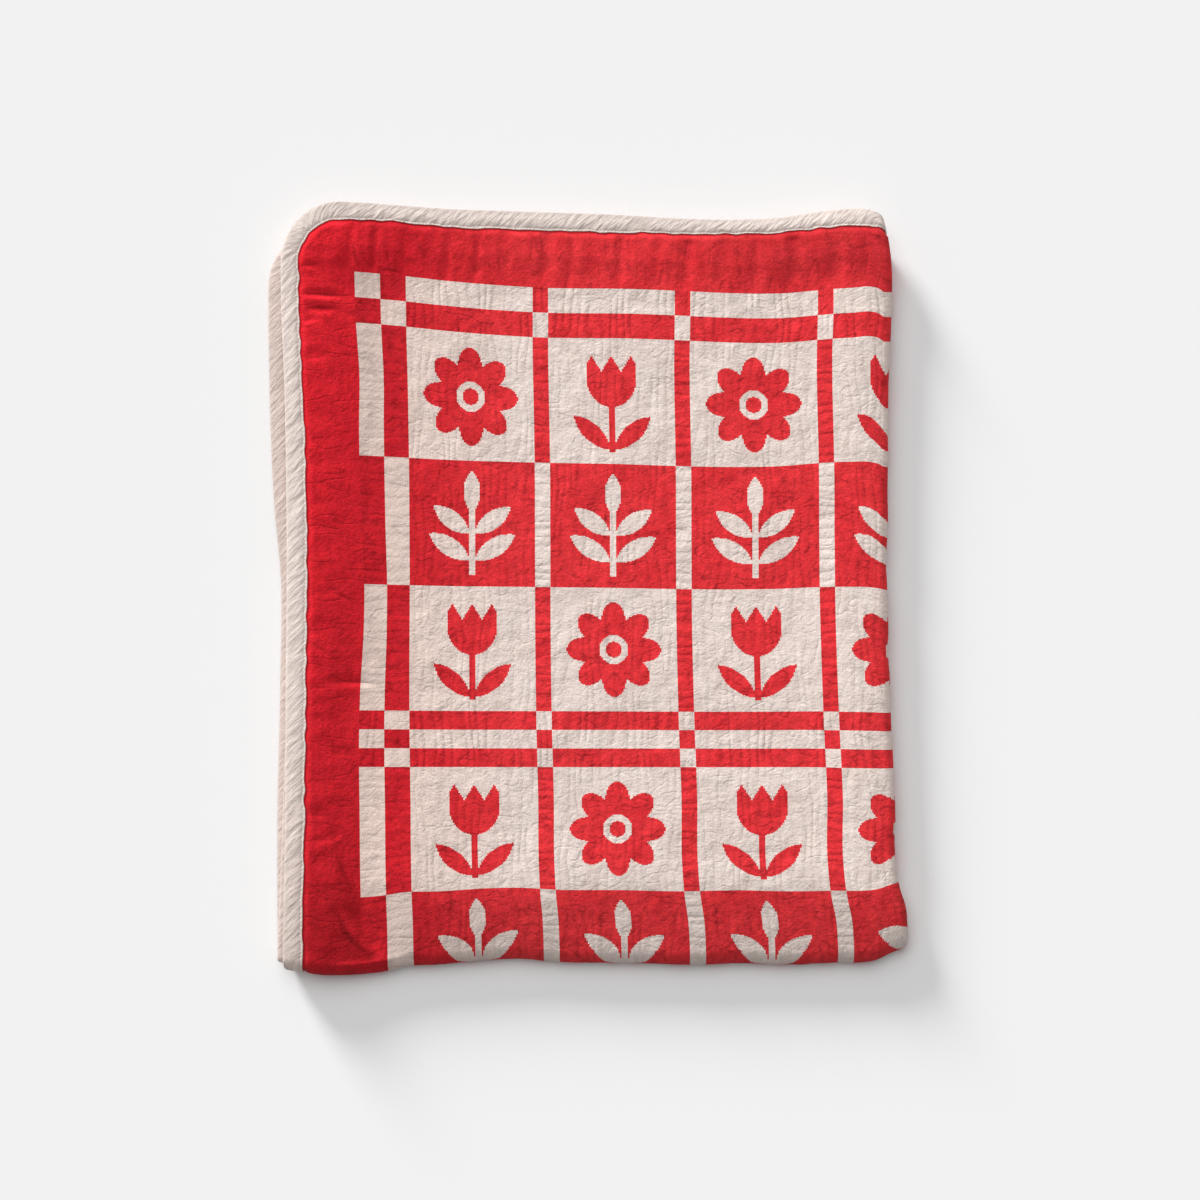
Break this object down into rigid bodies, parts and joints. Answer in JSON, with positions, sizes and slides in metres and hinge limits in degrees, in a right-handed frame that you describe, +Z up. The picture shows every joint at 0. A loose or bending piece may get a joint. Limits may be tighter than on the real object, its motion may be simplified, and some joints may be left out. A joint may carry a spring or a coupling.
{
  "type": "folded quilt",
  "caption": "Woven red and cream throw quilt with a cream bound edge, folded lengthwise and then crosswise into a flat stack of layers.",
  "frame": {"origin": "under the middle of the folded stack, on the surface that it lies on", "axes": "+Z up, +Y along the lengthwise fold towards the bound edge that shows on top, +X towards the lengthwise fold"},
  "size_m": [0.6607, 0.7978, 0.0341],
  "materials": {
    "quilt_cloth": "woven, softly puckered, matte",
    "edge_binding": "plain woven cotton strip, matte"
  },
  "bodies": {
    "root": {"quilt_cloth": "quilt_cloth", "edge_binding": "edge_binding"}
  },
  "joints": []
}
